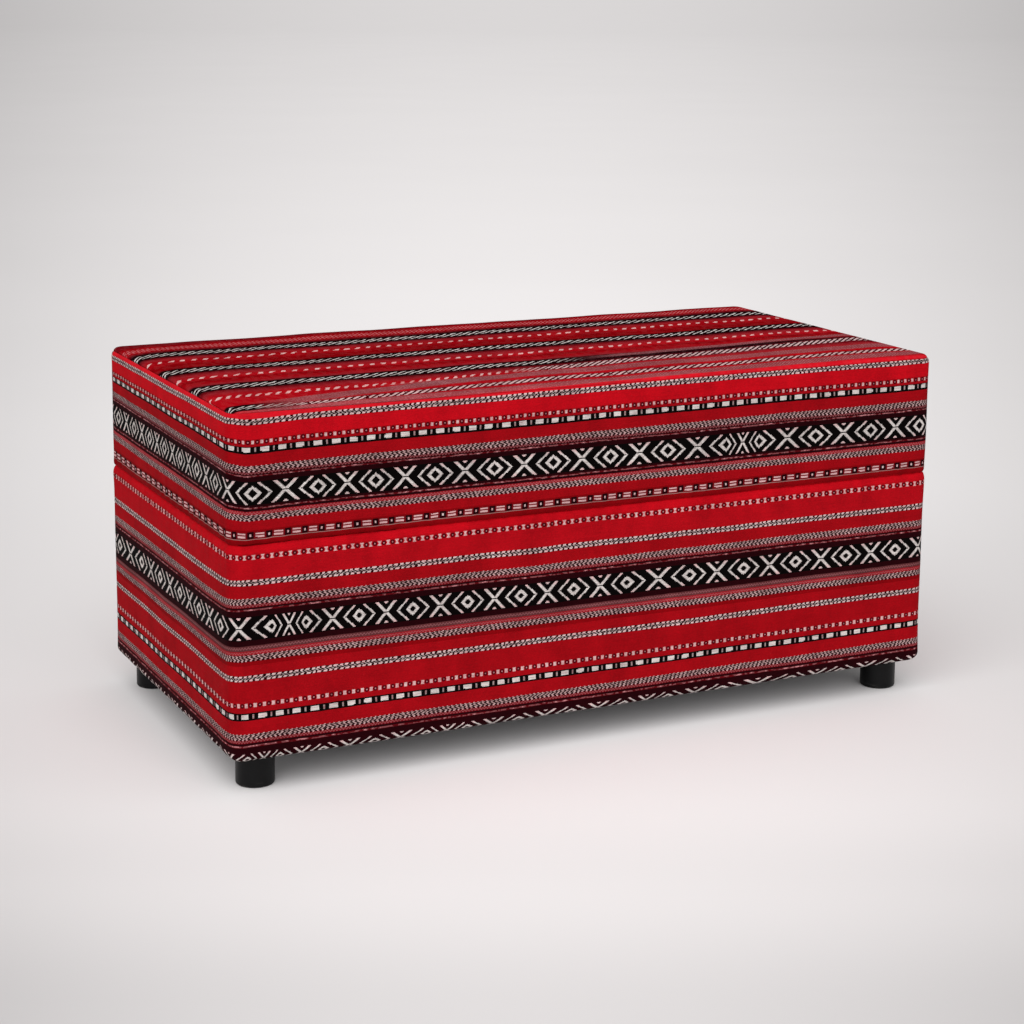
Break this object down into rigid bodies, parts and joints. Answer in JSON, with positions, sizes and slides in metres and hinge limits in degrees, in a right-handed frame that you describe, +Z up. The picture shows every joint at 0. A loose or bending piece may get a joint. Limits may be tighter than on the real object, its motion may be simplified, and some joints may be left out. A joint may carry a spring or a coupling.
{
  "type": "ottoman",
  "caption": "Long upholstered box ottoman with a flat foam seat, a striped woven cover in sewn pieces and short round black feet.",
  "frame": {"origin": "on the floor, under the middle of the body", "axes": "+X along the length, -Y the front, +Z up"},
  "size_m": [1, 0.5, 0.4708],
  "materials": {
    "cover": "flat-woven wool stripes in red, black, white and grey",
    "wadding": "white polyester wadding",
    "foam_soft": "soft open-cell foam",
    "foam_firm": "firm open-cell foam",
    "plywood": "unfinished plywood",
    "pine": "sawn pine",
    "dust_cloth": "black non-woven cloth",
    "foot_plastic": "moulded black plastic, satin",
    "zinc_steel": "zinc plated"
  },
  "bodies": {
    "root": {"top_panel": "cover", "seat_border": "cover", "base_border": "cover", "seat_wadding": "wadding", "foam_topper": "foam_soft", "foam_core": "foam_firm", "base_wadding": "wadding", "deck_board": "plywood", "front_panel": "plywood", "back_panel": "plywood", "left_panel": "plywood", "right_panel": "plywood", "centre_divider": "plywood", "front_left_post": "pine", "front_right_post": "pine", "back_left_post": "pine", "back_right_post": "pine", "dust_cover": "dust_cloth", "front_left_foot": "foot_plastic", "front_right_foot": "foot_plastic", "back_left_foot": "foot_plastic", "back_right_foot": "foot_plastic", "foot_studs": "zinc_steel", "threaded_inserts": "zinc_steel", "deck_screws": "zinc_steel", "panel_screws": "zinc_steel"}
  },
  "joints": []
}
